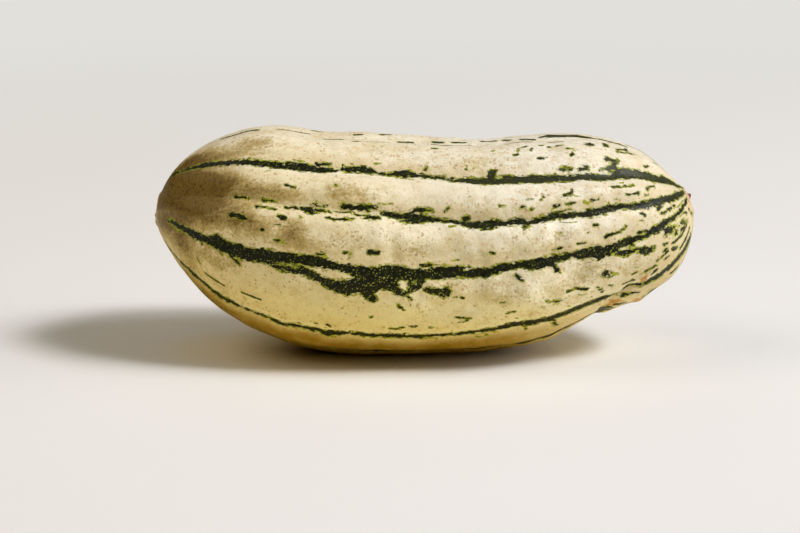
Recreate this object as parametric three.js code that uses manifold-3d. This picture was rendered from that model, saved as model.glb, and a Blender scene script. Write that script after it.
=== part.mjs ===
// A delicata squash: one grown fruit, as picked, lying on its side.
// Millimetres, +Z up. The long axis runs along X with the stem end at -X and the blossom end at +X.
// Every point of the skin is reached by two numbers: t, from 0 at the stem pole to 1 at the blossom
// pole, and v, the angle around the fruit, 0 degrees facing -Y and 90 degrees facing up.
import * as THREE from "three";
import { mergeVertices } from "three/addons/utils/BufferGeometryUtils.js";
import Module from "manifold-3d";

// Driving dimensions, in mm and degrees.
const HALF_LENGTH = 91.3;      // half the distance from pole to pole along X
const REST_CUT = 0.7;          // how deep the resting flat trims the underside
const RINGS = 53;              // cross-sections along the body, between the two end scars
const SIDES = 80;              // points around each cross-section

// The body at nine even stations from t = 0 to t = 1.
const RADIUS = [34.5, 41.5, 44.5, 41, 37.5, 39.5, 41.5, 47, 42];       // before the ends round off
const RISE = [49.5, 51.5, 47.5, 39.5, 37.5, 39.5, 46.5, 49, 55.5];  // height of the core line
const TILT = [-7, -8, -11, -7, -2.5, -2, 9, 14, 27];                // lean of each cross-section

// Ten furrows run from pole to pole. Each row holds the furrow's angle v at eleven even stations,
// and the rows are in order around the fruit, going down from the top on the -Y side.
const FURROWS = [
  { depth: 1.3, course: [95, 93, 91, 87, 86, 87, 87, 85, 88, 93, 96] },
  { depth: 2.2, course: [82, 68, 50, 50, 53, 52, 48, 44, 47, 56, 70] },
  { depth: 1.9, course: [30, 26, 24, 27, 30, 27, 24, 22, 22, 35, 48] },
  { depth: 1.2, course: [2, -4, -5, 4, 7, 7, 6, -1, 0, 11, 26] },
  { depth: 0.8, course: [-62, -57, -44, -41, -37, -39, -35, -38, -41, -37, -25] },
  { depth: 1.1, course: [-84, -77, -66, -64, -63, -63, -62, -66, -71, -64, -50] },
  { depth: 1.1, course: [-121, -117, -114, -113, -113, -113, -113, -114, -116, -109, -96] },
  { depth: 1.3, course: [-155, -151, -148, -147, -147, -147, -147, -149, -150, -145, -136] },
  { depth: 1.2, course: [-190, -189, -188, -187, -187, -187, -187, -188, -187, -184, -176] },
  { depth: 1.3, course: [-231, -230, -229, -228, -228, -228, -228, -228, -227, -224, -220] },
];
const CREST_SHAPE = 1.1;               // the smaller, the narrower the furrows and the broader the crests
const STEM_OPENING = { more: 0.6, until: 0.08, over: 0.30 };     // towards the ends the furrows open out:
const BLOSSOM_OPENING = { more: 0.6, from: 0.58, full: 0.86 };   // what is added to the crest shape there
const STEM_FADE = 0.13;                // share of the length over which ribs grow at the stem end
const BLOSSOM_FADE = 0.10;             // and at the blossom end

// Low swellings and dents of the skin: place (t, v), reach along and around in mm, and height.
const SWELLINGS = [
  { t: 0.18, v: 9, along: 24, around: 6, height: 0.9 },
  { t: 0.17, v: 32, along: 20, around: 8, height: -1.0 },
  { t: 0.30, v: -35, along: 26, around: 5, height: 0.5 },
  { t: 0.52, v: -34, along: 26, around: 5, height: 0.6 },
  { t: 0.33, v: 16, along: 8, around: 5, height: -0.7 },
  { t: 0.40, v: 41, along: 16, around: 5, height: 0.7 },
  { t: 0.46, v: 16, along: 7, around: 6, height: 0.6 },
  { t: 0.53, v: 13, along: 5, around: 6, height: -0.6 },
  { t: 0.58, v: 11, along: 5, around: 6, height: 0.6 },
  { t: 0.66, v: 11, along: 6, around: 6, height: -0.5 },
  { t: 0.56, v: -12, along: 6, around: 8, height: -0.6 },
  { t: 0.62, v: -13, along: 5, around: 8, height: 0.7 },
  { t: 0.69, v: -14, along: 6, around: 7, height: -0.6 },
  { t: 0.47, v: 66, along: 14, around: 12, height: -0.8 },
  { t: 0.47, v: 100, along: 18, around: 15, height: 0.6 },
  { t: 0.57, v: 100, along: 11, around: 16, height: -1.0 },
  { t: 0.70, v: 66, along: 16, around: 9, height: 0.6 },
  { t: 0.36, v: -58, along: 13, around: 6, height: 0.5 },
  { t: 0.675, v: -74, along: 11, around: 8, height: 1.3 },
  { t: 0.20, v: 150, along: 15, around: 9, height: 0.8 },
  { t: 0.42, v: 192, along: 12, around: 8, height: -0.7 },
  { t: 0.63, v: 152, along: 14, around: 8, height: 0.7 },
  { t: 0.76, v: 205, along: 11, around: 8, height: -0.6 },
  { t: 0.775, v: -72, along: 4, around: 7, height: 1.4 },
  { t: 0.88, v: -72, along: 11, around: 14, height: 1.0 },
  { t: 0.865, v: 102, along: 8, around: 14, height: 0.8 },
];

// The healed fold on the lower right. Its crease runs through these points (t, v), from the underside
// up to where it dies out.
const CREASE = [
  [0.700, -115], [0.7055, -80], [0.709, -60], [0.712, -52.6], [0.718, -47.2], [0.728, -44], [0.738, -42.5],
  [0.758, -41.6], [0.80, -41],
];
const FOLD = {
  fullBefore: 0.75, goneAt: 0.80,                      // the crease fades between these places
  fullBelow: -40, top: -33, fullAbove: -105, bottom: -135,
  middle: 0.72, step: 1.2,
  hollow: 2.2, hollowReach: 9,                         // before the crease, a wide hollow,
  spared: 0.65, fullUnder: -72, sparedOver: -48,       // shallower higher up the side
  groove: 2.6, grooveReach: 3.4,                       // past the crease, a narrow groove and a low lip
  lip: 0.45, lipPlace: 15, lipReach: 9,
};

// The end scars, as heights along the pole's own axis.
const DISH_EDGE = 0.6;                                  // share of the ring over which the dish is flat
const BLOSSOM_SCAR = { ring: 4.6, ringWidth: 0.8, ringHeight: 0.45, dish: 0.4, nub: 0.95, nubRadius: 1.0 };
const STEM_SCAR = { ring: 5.1, ringWidth: 0.9, ringHeight: 0.5, dish: 0.6, nub: 1.2, nubRadius: 1.7 };
const STEM_NUB_OFFSET = 1.4;                            // the broken stem's nub sits below the pole
const STEM_RINGS = [1.2, 2.6, 4.0, 5.1, 6.4];           // distances from the pole, for the scar's rings
const BLOSSOM_RINGS = [1.0, 2.6, 3.9, 4.6, 5.4, 6.8];

const MID_RADIUS = RADIUS[4];
const DEGREES = Math.PI / 180;

/** Value at t of a curve that passes smoothly through evenly spaced stations. */
function along(stations, t) {
  const last = stations.length - 1;
  const place = Math.min(Math.max(t, 0), 1) * last;
  const i = Math.min(Math.floor(place), last - 1);
  const f = place - i;
  const before = i > 0 ? stations[i - 1] : 2 * stations[0] - stations[1];
  const after = i < last - 1 ? stations[i + 2] : 2 * stations[last] - stations[last - 1];
  const [a, b] = [stations[i], stations[i + 1]];
  return 0.5 * (2 * a + (b - before) * f + (2 * before - 5 * a + 4 * b - after) * f * f
    + (3 * a - before - 3 * b + after) * f * f * f);
}

const smooth = (low, high, x) => THREE.MathUtils.smoothstep((x - low) / (high - low), 0, 1);
const bell = (x) => Math.exp(-x * x);
const arcPerT = (t) => Math.PI * HALF_LENGTH * Math.sin(Math.PI * t);

/** Ribs: zero on each crest and minus the furrow's depth in the furrow. */
function ribs(t, v) {
  const fade = smooth(0, STEM_FADE, t) * smooth(0, BLOSSOM_FADE, 1 - t);
  const shape = CREST_SHAPE + STEM_OPENING.more * (1 - smooth(STEM_OPENING.until, STEM_OPENING.over, t))
    + BLOSSOM_OPENING.more * smooth(BLOSSOM_OPENING.from, BLOSSOM_OPENING.full, t);
  const top = along(FURROWS[0].course, t);
  const down = ((top - v) % 360 + 360) % 360;           // degrees below the topmost furrow
  for (let i = 0; i < FURROWS.length; i += 1) {
    const next = FURROWS[(i + 1) % FURROWS.length];
    const start = top - along(FURROWS[i].course, t);
    const end = i + 1 < FURROWS.length ? top - along(next.course, t) : 360;
    if (down > end) continue;
    const share = (down - start) / (end - start);
    const depth = THREE.MathUtils.lerp(FURROWS[i].depth, next.depth, share);
    return -depth * fade * (1 - Math.sin(Math.PI * THREE.MathUtils.clamp(share, 0, 1)) ** shape);
  }
  return 0;
}

function swellings(t, v) {
  let height = 0;
  for (const s of SWELLINGS) {
    const dv = ((v - s.v + 540) % 360) - 180;
    const x = (t - s.t) * arcPerT(s.t) / s.along;
    const y = dv * DEGREES * MID_RADIUS / s.around;
    height += s.height * bell(Math.hypot(x, y));
  }
  return height;
}

/** Signed distance in mm to the crease, positive on the blossom's side, and the nearest place's t. */
function creaseDistance(t, v) {
  const perT = arcPerT(FOLD.middle);
  const perDegree = MID_RADIUS * DEGREES;
  let [nearest, side, travel] = [Infinity, 1, 0];
  for (let i = 1; i < CREASE.length; i += 1) {
    const [x0, y0] = [CREASE[i - 1][0] * perT, CREASE[i - 1][1] * perDegree];
    const [dx, dy] = [CREASE[i][0] * perT - x0, CREASE[i][1] * perDegree - y0];
    const [px, py] = [t * perT - x0, v * perDegree - y0];
    const share = THREE.MathUtils.clamp((px * dx + py * dy) / (dx * dx + dy * dy), 0, 1);
    const distance = Math.hypot(px - share * dx, py - share * dy);
    if (distance >= nearest) continue;
    nearest = distance;
    side = Math.sign(px * dy - py * dx);
    travel = THREE.MathUtils.lerp(CREASE[i - 1][0], CREASE[i][0], share);
  }
  return [nearest * side, travel];
}

/** The fold: a wide hollow before the crease, a narrow groove past it, and a low lip behind that. */
function fold(t, v) {
  const angle = v > 180 ? v - 360 : v;
  const [s, travel] = creaseDistance(t, angle);
  const strength = (1 - smooth(FOLD.fullBefore, FOLD.goneAt, travel))
    * smooth(FOLD.bottom, FOLD.fullAbove, angle) * (1 - smooth(FOLD.fullBelow, FOLD.top, angle));
  const hollow = FOLD.hollow * (1 - FOLD.spared * smooth(FOLD.fullUnder, FOLD.sparedOver, angle))
    * bell(Math.min(s, 0) / FOLD.hollowReach);
  const groove = FOLD.groove * bell(s / FOLD.grooveReach)
    - FOLD.lip * bell((s - FOLD.lipPlace) / FOLD.lipReach);
  return -strength * THREE.MathUtils.lerp(hollow, groove, smooth(0, FOLD.step, s));
}

/** Height of a scar along the pole's axis: a raised ring, a shallow dish inside it, and a nub. */
function scar(shape, distance, nubDistance) {
  const ring = shape.ringHeight * bell((distance - shape.ring) / shape.ringWidth);
  const dish = -shape.dish * (1 - smooth(DISH_EDGE * shape.ring, shape.ring, distance));
  return ring + dish + shape.nub * bell(nubDistance / shape.nubRadius);
}

/** The skin's point at (t, v). */
function skin(t, v) {
  const radius = along(RADIUS, t) * Math.sin(Math.PI * t);
  const grown = radius * (1 + (ribs(t, v) + swellings(t, v) + fold(t, v)) / MID_RADIUS);
  const up = grown * Math.sin(v * DEGREES);
  const front = grown * Math.cos(v * DEGREES);
  const tilt = along(TILT, t) * DEGREES;
  const stemNub = Math.hypot(up + STEM_NUB_OFFSET, front);
  const outward = t < 0.5 ? -scar(STEM_SCAR, radius, stemNub) : scar(BLOSSOM_SCAR, radius, radius);
  const x = -HALF_LENGTH * Math.cos(Math.PI * t) - up * Math.sin(tilt) + outward * Math.cos(tilt);
  const z = along(RISE, t) + up * Math.cos(tilt) + outward * Math.sin(tilt);
  return [x, -front, z];
}

/** Places of the cross-sections: close together on the end scars, even between them. */
function sectionPlaces() {
  const stem = STEM_RINGS.map((r) => r / (RADIUS[0] * Math.PI));
  const blossom = BLOSSOM_RINGS.map((r) => 1 - r / (RADIUS[8] * Math.PI)).reverse();
  const start = stem.at(-1);
  const span = blossom[0] - start;
  const body = Array.from({ length: RINGS }, (_, i) => start + span * (i + 1) / (RINGS + 1));
  return [...stem, ...body, ...blossom];
}

/** The closed skin as a triangle mesh, from one pole to the other. */
function skinGeometry() {
  const places = sectionPlaces();
  const points = [skin(0, 0), ...places.flatMap((t) => (
    Array.from({ length: SIDES }, (_, k) => skin(t, 360 * k / SIDES)))), skin(1, 0)];
  const faces = [];
  const at = (ring, k) => 1 + ring * SIDES + (k % SIDES);
  const last = points.length - 1;
  for (let k = 0; k < SIDES; k += 1) {
    faces.push(0, at(0, k), at(0, k + 1), last, at(places.length - 1, k + 1), at(places.length - 1, k));
    for (let ring = 0; ring + 1 < places.length; ring += 1) {
      faces.push(at(ring, k), at(ring + 1, k), at(ring, k + 1));
      faces.push(at(ring, k + 1), at(ring + 1, k), at(ring + 1, k + 1));
    }
  }
  const geometry = new THREE.BufferGeometry();
  geometry.setAttribute("position", new THREE.Float32BufferAttribute(points.flat(), 3));
  geometry.setIndex(faces);
  return geometry;
}

const wasm = await Module();
wasm.setup();

function toSolid(geometry) {
  geometry.deleteAttribute("normal");
  geometry.deleteAttribute("uv");
  const merged = mergeVertices(geometry);
  const vertProperties = Float32Array.from(merged.attributes.position.array);
  const triVerts = Uint32Array.from(merged.index.array);
  return new wasm.Manifold(new wasm.Mesh({ numProp: 3, vertProperties, triVerts }));
}

function toGeometry(solid) {
  const mesh = solid.getMesh();
  const geometry = new THREE.BufferGeometry();
  geometry.setAttribute("position", new THREE.BufferAttribute(Float32Array.from(mesh.vertProperties), 3));
  geometry.setIndex(Array.from(mesh.triVerts));
  return geometry;
}

/** The fruit trimmed by the plane it rests on, with that plane at z = 0 below its box's centre. */
function fruitGeometry() {
  const whole = skinGeometry();
  whole.computeBoundingBox();
  const { min, max } = whole.boundingBox;
  const ground = new THREE.BoxGeometry(3 * HALF_LENGTH, 3 * HALF_LENGTH, HALF_LENGTH);
  ground.translate(0, 0, min.z + REST_CUT - HALF_LENGTH / 2);
  const fruit = toGeometry(toSolid(whole).subtract(toSolid(ground)));
  fruit.translate(-(min.x + max.x) / 2, -(min.y + max.y) / 2, -min.z - REST_CUT);
  fruit.computeVertexNormals();
  return fruit;
}

const skinMaterial = new THREE.MeshStandardMaterial({ color: 0xdccba1, roughness: 0.42, metalness: 0 });
const fruit = new THREE.Mesh(fruitGeometry(), skinMaterial);
fruit.name = "delicata_squash";

const squash = new THREE.Group();
squash.add(fruit);

export default squash;
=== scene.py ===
import bpy
import numpy as np
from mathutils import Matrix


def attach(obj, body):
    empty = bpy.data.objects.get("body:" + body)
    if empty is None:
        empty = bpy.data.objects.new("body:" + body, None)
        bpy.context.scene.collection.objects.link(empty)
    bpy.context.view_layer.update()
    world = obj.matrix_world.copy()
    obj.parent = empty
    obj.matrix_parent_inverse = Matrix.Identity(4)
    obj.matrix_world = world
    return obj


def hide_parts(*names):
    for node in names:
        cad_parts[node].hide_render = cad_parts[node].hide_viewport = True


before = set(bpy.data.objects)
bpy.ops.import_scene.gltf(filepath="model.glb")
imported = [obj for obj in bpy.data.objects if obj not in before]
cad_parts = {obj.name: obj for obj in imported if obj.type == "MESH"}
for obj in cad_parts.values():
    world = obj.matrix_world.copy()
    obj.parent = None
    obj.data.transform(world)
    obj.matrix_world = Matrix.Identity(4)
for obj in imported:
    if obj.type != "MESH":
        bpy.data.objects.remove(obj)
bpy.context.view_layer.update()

# ---- The fruit's form ----
# A delicata squash grows as one ribbed body, bent a little where it lay on the ground. Its waist, its ten
# furrows and the healed fold on its underside are all one firm skin over pale flesh.
MM = 0.001

# In mm: half the core line's length, and how much is trimmed off for the flat spot that the fruit rests on.
half_length = 91.3
rest_cut = 0.7

# At nine even stations from stem to blossom: radius and height of the core line in mm, lean in degrees.
radius_stations = [34.5, 41.5, 44.5, 41, 37.5, 39.5, 41.5, 47, 42]
rise_stations = [49.5, 51.5, 47.5, 39.5, 37.5, 39.5, 46.5, 49, 55.5]
tilt_stations = [-7, -8, -11, -7, -2.5, -2, 9, 14, 27]
mid_radius = radius_stations[4]

# Depth in mm, and the angle around the fruit at eleven even stations from the stem end to the blossom end.
furrows = [
    (1.3, [95, 93, 91, 87, 86, 87, 87, 85, 88, 93, 96]),
    (2.2, [82, 68, 50, 50, 53, 52, 48, 44, 47, 56, 70]),
    (1.9, [30, 26, 24, 27, 30, 27, 24, 22, 22, 35, 48]),
    (1.2, [2, -4, -5, 4, 7, 7, 6, -1, 0, 11, 26]),
    (0.8, [-62, -57, -44, -41, -37, -39, -35, -38, -41, -37, -25]),
    (1.1, [-84, -77, -66, -64, -63, -63, -62, -66, -71, -64, -50]),
    (1.1, [-121, -117, -114, -113, -113, -113, -113, -114, -116, -109, -96]),
    (1.3, [-155, -151, -148, -147, -147, -147, -147, -149, -150, -145, -136]),
    (1.2, [-190, -189, -188, -187, -187, -187, -187, -188, -187, -184, -176]),
    (1.3, [-231, -230, -229, -228, -228, -228, -228, -228, -227, -224, -220]),
]

# Swellings and dents: place (t, angle), reach along and around in mm, height in mm.
swelling_list = [
    (0.18, 9, 24, 6, 0.9), (0.17, 32, 20, 8, -1.0), (0.30, -35, 26, 5, 0.5), (0.52, -34, 26, 5, 0.6),
    (0.33, 16, 8, 5, -0.7), (0.40, 41, 16, 5, 0.7), (0.46, 16, 7, 6, 0.6), (0.53, 13, 5, 6, -0.6),
    (0.58, 11, 5, 6, 0.6), (0.66, 11, 6, 6, -0.5), (0.56, -12, 6, 8, -0.6), (0.62, -13, 5, 8, 0.7),
    (0.69, -14, 6, 7, -0.6), (0.47, 66, 14, 12, -0.8), (0.47, 100, 18, 15, 0.6),
    (0.57, 100, 11, 16, -1.0), (0.70, 66, 16, 9, 0.6), (0.36, -58, 13, 6, 0.5), (0.675, -74, 11, 8, 1.3),
    (0.20, 150, 15, 9, 0.8), (0.42, 192, 12, 8, -0.7), (0.63, 152, 14, 8, 0.7), (0.76, 205, 11, 8, -0.6),
    (0.775, -72, 4, 7, 1.4), (0.88, -72, 11, 14, 1.0), (0.865, 102, 8, 14, 0.8),
]


def along(stations, t):
    """A curve through evenly spaced stations: on each span the cubic whose slope at a station is half the
    difference of its neighbours (Catmull-Rom), with the end stations mirrored outwards."""
    s = np.asarray(stations, float)
    s = np.concatenate([[2 * s[0] - s[1]], s, [2 * s[-1] - s[-2]]])
    place = np.clip(t, 0, 1) * (len(stations) - 1)
    i = np.minimum(place.astype(int), len(stations) - 2)
    f = place - i
    a, b, c, d = s[i], s[i + 1], s[i + 2], s[i + 3]
    return 0.5 * (2 * b + (c - a) * f + (2 * a - 5 * b + 4 * c - d) * f**2 + (3 * b - a - 3 * c + d) * f**3)


def smooth(low, high, x):
    """0 below low, 1 above high, and 3x^2 - 2x^3 between them."""
    x = np.clip((x - low) / (high - low), 0, 1)
    return x * x * (3 - 2 * x)


def bell(x):
    """exp(-x^2): 1 at 0, about a third at 1, and nearly nothing at 2."""
    return np.exp(-x * x)


def wrap(angle):
    """The same angle between -180 and 180 degrees."""
    return (angle + 180) % 360 - 180


def ribs(t, v):
    """Zero on each crest. Between two furrows the depth is (1 - sin(pi * share)^p) of the furrow's own.
    p is 1.1 in the middle, where the furrows are narrow, and up to 1.7 at the ends, where they open out."""
    fade = smooth(0, 0.13, t) * smooth(0, 0.10, 1 - t)
    opening = 1.10 + 0.6 * (1 - smooth(0.08, 0.30, t)) + 0.6 * smooth(0.58, 0.86, t)
    top = along(furrows[0][1], t)
    down = (top - v) % 360
    height = np.zeros_like(t)
    for i, (depth, course) in enumerate(furrows):
        next_depth, next_course = furrows[(i + 1) % len(furrows)]
        start = top - along(course, t)
        end = top - along(next_course, t) if i + 1 < len(furrows) else 360
        share = (down - start) / (end - start)
        inside = (share >= 0) & (share <= 1)
        hollow = 1 - np.sin(np.pi * np.clip(share, 0, 1)) ** opening
        height = np.where(inside, -(depth + (next_depth - depth) * share) * hollow, height)
    return height * fade


def swellings(t, v):
    """Each one is its height times exp(-x^2 - y^2), x and y in reaches along and around."""
    height = np.zeros_like(t)
    for place, angle, reach_along, reach_around, peak in swelling_list:
        x = (t - place) * np.pi * half_length * np.sin(np.pi * place) / reach_along
        y = np.radians(wrap(v - angle)) * mid_radius / reach_around
        height += peak * np.exp(-x * x - y * y)
    return height


# The fold's crease, as (t, angle), from the underside up to where it dies out on the best side.
crease = [
    (.700, -115), (.7055, -80), (.709, -60), (.712, -52.6), (.718, -47.2), (.728, -44), (.738, -42.5),
    (.758, -41.6), (.80, -41),
]


def fold(t, v):
    """A groove along the crease: a wide bell of the distance before it, a narrow one past it, and a low lip
    behind that. Distances are in mm over the skin there, to the nearest of the crease's straight parts."""
    along_mm, around_mm = np.pi * half_length * np.sin(np.pi * 0.72), mid_radius * np.pi / 180
    x, y = t * along_mm, wrap(v) * around_mm
    nearest, side, travel = np.full(np.shape(t), 1e9), np.ones(np.shape(t)), np.zeros(np.shape(t))
    for (t0, v0), (t1, v1) in zip(crease[:-1], crease[1:]):
        x0, y0, dx, dy = t0 * along_mm, v0 * around_mm, (t1 - t0) * along_mm, (v1 - v0) * around_mm
        share = np.clip(((x - x0) * dx + (y - y0) * dy) / (dx * dx + dy * dy), 0, 1)
        distance = np.hypot(x - x0 - share * dx, y - y0 - share * dy)
        closer = distance < nearest
        side = np.where(closer, np.sign((x - x0) * dy - (y - y0) * dx), side)
        travel = np.where(closer, t0 + share * (t1 - t0), travel)
        nearest = np.minimum(distance, nearest)
    around = smooth(-135, -105, wrap(v)) * (1 - smooth(-40, -33, wrap(v)))
    strength = (1 - smooth(0.75, 0.80, travel)) * around
    s = nearest * side
    before = 2.2 * (1 - 0.65 * smooth(-72, -48, wrap(v))) * bell(np.minimum(s, 0) / 9)
    past = 2.6 * bell(s / 3.4) - 0.45 * bell((s - 15) / 9)
    return -strength * (before + (past - before) * smooth(0, 1.2, s))


def scar(distance, nub_distance, ring, width, height, dish, nub, nub_radius):
    """Along the pole's axis: a bell-shaped ring, a dish inside it, and a bell-shaped nub."""
    rim = height * bell((distance - ring) / width)
    inside = -dish * (1 - smooth(0.6 * ring, ring, distance))
    return rim + inside + nub * bell(nub_distance / nub_radius)


def grain(points, size, seed):
    """Value noise from -1 to 1: random numbers on a lattice of that size, blended smoothly between."""
    p = points / size + 57.3
    cell = np.floor(p).astype(np.int64)
    f = p - cell
    f = f * f * (3 - 2 * f)
    total = 0
    for corner in np.ndindex(2, 2, 2):
        n = (cell + corner) @ np.array([73856093, 19349663, 83492791]) + seed * 2654435761
        n = (n ^ (n >> 13)) * 1274126177 & 0x7FFFFFFF
        weight = np.prod(np.where(np.array(corner), f, 1 - f), axis=-1)
        total = total + weight * (((n ^ (n >> 16)) & 0xFFFF) / 32767.5 - 1)
    return total


def skin(t, v, relief=0):
    """The skin's point: a slice of radius R(t) sin(pi t) stands on the core line at -L cos(pi t), leans by
    the tilt, and its radius is scaled by the relief. v is 0 towards -Y and 90 degrees up."""
    radius = along(radius_stations, t) * np.sin(np.pi * t)
    grown = radius * (1 + (ribs(t, v) + swellings(t, v) + fold(t, v) + relief) / mid_radius)
    up, front = grown * np.sin(np.radians(v)), grown * np.cos(np.radians(v))
    tilt = np.radians(along(tilt_stations, t))
    stem = -scar(radius, np.hypot(up + 1.4, front), ring=5.1, width=0.9, height=0.5, dish=0.6, nub=1.2,
                 nub_radius=1.7)
    blossom = scar(radius, radius, ring=4.6, width=0.8, height=0.45, dish=0.4, nub=0.95, nub_radius=1.0)
    outward = np.where(t < 0.5, stem, blossom)
    x = -half_length * np.cos(np.pi * t) - up * np.sin(tilt) + outward * np.cos(tilt)
    z = along(rise_stations, t) + up * np.cos(tilt) + outward * np.sin(tilt)
    return np.stack([x, -front, z], axis=-1)


# Rows are evenly spaced over the skin, and three times as close on the two end scars. Columns are twice
# as close on the best side as on the far side.
columns, rows = 320, 305
fine_v = np.linspace(-180, 180, 3601)
on_best_side = smooth(-95, -75, fine_v[1:]) * (1 - smooth(90, 110, fine_v[1:]))
share_v = np.concatenate([[0], np.cumsum(1 + on_best_side)])
column_v = np.interp(np.arange(columns) / columns * share_v[-1], share_v, fine_v)
fine_t = np.linspace(0, 1, 4001)
pace = np.pi * np.hypot(half_length * np.sin(np.pi * fine_t), mid_radius * np.cos(np.pi * fine_t))
pace *= 1 + 2 * bell(fine_t / 0.05) + 2 * bell((1 - fine_t) / 0.05)
walked = np.concatenate([[0], np.cumsum((pace[1:] + pace[:-1]) / 2)])
row_t = np.interp(np.linspace(0, walked[-1], rows + 2)[1:-1], walked, fine_t)
t, v = np.meshgrid(row_t, column_v, indexing="ij")

# Fine relief in mm: low lumps, higher on the middle ribs, a fine grain over them, and wrinkles across the
# ribs of the blossom half.
plain = skin(t, v)
middle = smooth(0.36, 0.48, t) * (1 - smooth(0.76, 0.86, t)) * smooth(-34, -26, v) * (1 - smooth(42, 50, v))
lumps = 0.30 * grain(plain * [0.6, 1, 1], 9, 1) + 0.20 * grain(plain, 4.5, 2)
wrinkled = smooth(0.40, 0.60, t) * (1 - smooth(0.86, 0.94, t))
relief = (1 + 1.3 * middle) * lumps + 0.05 * grain(plain, 1.9, 3)
relief += 0.22 * wrinkled * grain(plain * [1, 0.45, 0.45], 4, 5)

# Bumps on the stem end and beside the fold: place (t, angle), size and height in mm.
bumps = [
    (.050, 44, 1.3, .7), (.030, 20, 1.6, .6), (.040, -24, 1.4, .5), (.060, 66, 1.2, .5),
    (.784, -39, 1.3, .4), (.772, -68, 1.5, .7),
]
slice_radius = along(radius_stations, t) * np.sin(np.pi * t)
for spot_t, spot_v, size, height in bumps:
    x = (t - spot_t) * np.pi * half_length * 0.5
    y = np.radians(wrap(v - spot_v)) * slice_radius
    relief += height * bell(np.hypot(x, y) / size)
points = skin(t, v, relief)
poles = skin(np.array([0.0, 1.0]), np.zeros(2))
points = np.concatenate([points.reshape(-1, 3), poles])

# The body is lowered until its lowest point, fine relief left out, is the trim below the ground. The skin
# that is then under the ground is pressed flat, and the length is centred.
coarse = skin(*np.meshgrid(np.linspace(0, 1, 200), np.arange(180) * 2.0, indexing="ij"))
lowest = coarse[..., 2].min()
points[:, 2] = np.maximum(points[:, 2] - lowest - rest_cut, 0)
points[:, 0] -= (plain[..., 0].min() + plain[..., 0].max()) / 2

ring = np.arange(columns)
step = (ring + 1) % columns
base = np.arange(rows - 1)[:, None] * columns
quads = np.stack([base + columns + ring, base + columns + step, base + step, base + ring], axis=-1)
stem_pole, blossom_pole = rows * columns, rows * columns + 1
stem_cap = np.stack([np.full(columns, stem_pole), ring, step], axis=-1)
last = (rows - 1) * columns
blossom_cap = np.stack([np.full(columns, blossom_pole), last + step, last + ring], axis=-1)
faces = quads.reshape(-1, 4).tolist() + stem_cap.tolist() + blossom_cap.tolist()

mesh = bpy.data.meshes.new("squash_skin")
mesh.from_pydata(points * MM, [], faces)
mesh.shade_smooth()
mesh.validate()
squash = bpy.data.objects.new("squash_skin", mesh)
bpy.context.collection.objects.link(squash)

# ---- The stripes ----
# Dark green stripes grow along the furrows, broken into dashes and flecks, with a lime fringe where the
# colour thins. They are in the skin itself, so they have no thickness.
t_all = np.concatenate([t.ravel(), [0, 1]])
v_all = np.concatenate([v.ravel(), [0, 0]])

# How far over the skin, in mm, a whole unit of t and one degree would reach at each point.
mm_per_t = np.pi * np.hypot(half_length * np.sin(np.pi * t_all), mid_radius * np.cos(np.pi * t_all))
mm_per_degree = np.maximum(along(radius_stations, t_all) * np.sin(np.pi * t_all), 0.3) * np.pi / 180


def mark(field, strokes, crisp=1.0):
    """Raises field to crisp times (half-width - distance), in mm, for each stroke: a chain of
    (t, angle, half-width). Points far from the stroke are left alone."""
    for stroke in strokes:
        stroke = np.array(stroke, float)
        for (t0, v0, w0), (t1, v1, w1) in zip(stroke[:-1], stroke[1:]):
            near = np.abs(t_all - (t0 + t1) / 2) < abs(t1 - t0) / 2 + 0.05
            x, y = (t_all[near] - t0) * mm_per_t[near], wrap(v_all[near] - v0) * mm_per_degree[near]
            dx, dy = (t1 - t0) * mm_per_t[near], (v1 - v0) * mm_per_degree[near]
            share = np.clip((x * dx + y * dy) / (dx * dx + dy * dy + 1e-9), 0, 1)
            distance = np.hypot(x - share * dx, y - share * dy)
            field[near] = np.maximum(field[near], crisp * (w0 + (w1 - w0) * share - distance))


def fill(field, bands):
    """Raises field to the depth in mm inside each band, a list of (t, lower angle, upper angle): the
    smallest of the distances to its two edges and its two ends."""
    for edges in bands:
        place, low, high = np.array(edges, float).T
        near = (t_all > place[0] - 0.03) & (t_all < place[-1] + 0.03)
        at, angle = t_all[near], wrap(v_all[near])
        across = np.minimum(np.interp(at, place, high) - angle, angle - np.interp(at, place, low))
        ends = np.minimum(at - place[0], place[-1] - at) * mm_per_t[near]
        field[near] = np.maximum(field[near], np.minimum(across * mm_per_degree[near], ends))


def depth_inside(outline):
    """Each point's distance in mm to a closed outline of (t, angle) corners, positive inside it and
    negative outside. The skin there is taken as flat."""
    corners = np.array(outline, float)
    middle = corners.mean(axis=0)
    scale = np.array([np.pi * half_length * np.sin(np.pi * middle[0]),
                      along(radius_stations, middle[0]) * np.sin(np.pi * middle[0]) * np.pi / 180])
    x, y = (t_all - middle[0]) * scale[0], wrap(v_all - middle[1]) * scale[1]
    corners = (corners - middle) * scale
    nearest, inside = np.full(len(x), 1e9), np.zeros(len(x), bool)
    for (x0, y0), (x1, y1) in zip(corners, np.roll(corners, -1, axis=0)):
        dx, dy = x1 - x0, y1 - y0
        share = np.clip(((x - x0) * dx + (y - y0) * dy) / (dx * dx + dy * dy + 1e-9), 0, 1)
        nearest = np.minimum(nearest, np.hypot(x - x0 - share * dx, y - y0 - share * dy))
        inside ^= ((y0 > y) != (y1 > y)) & (x < x0 + (y - y0) * dx / (dy if dy else 1e-9))
    return np.where(inside, nearest, -nearest)


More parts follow.
